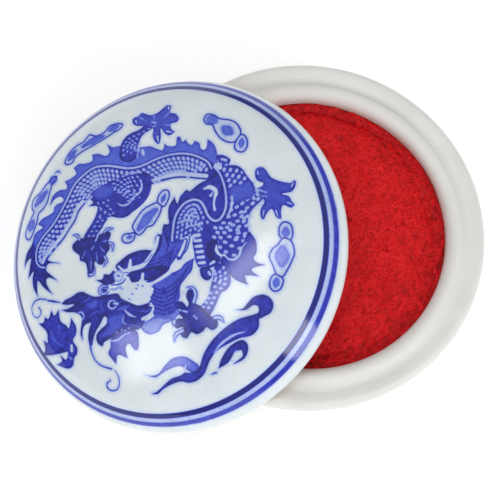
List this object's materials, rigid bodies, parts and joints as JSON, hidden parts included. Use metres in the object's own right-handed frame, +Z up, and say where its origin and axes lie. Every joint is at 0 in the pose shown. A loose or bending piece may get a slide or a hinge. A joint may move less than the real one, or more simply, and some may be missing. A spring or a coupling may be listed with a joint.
{
  "type": "seal paste box",
  "caption": "Round glazed porcelain box of red seal paste: a low footed base with a raised lip, and a domed painted lid leaning on it.",
  "frame": {"origin": "centre of the base's foot ring, on the table", "axes": "+Z up along the base's axis; the lid leans towards -X; +Y completes a right-handed frame"},
  "size_m": [0.0955, 0.072, 0.0354],
  "materials": {
    "bowl_porcelain": "satin",
    "seal_paste": "satin",
    "lid_porcelain": "gloss"
  },
  "bodies": {
    "base": {"bowl": "bowl_porcelain", "seal_paste": "seal_paste"},
    "lid": {"lid": "lid_porcelain"}
  },
  "joints": [
    {"name": "lid_lift", "type": "slide", "parent": "base", "child": "lid", "axis": [0, 0, 1], "range_m": [0, 0.06]}
  ]
}
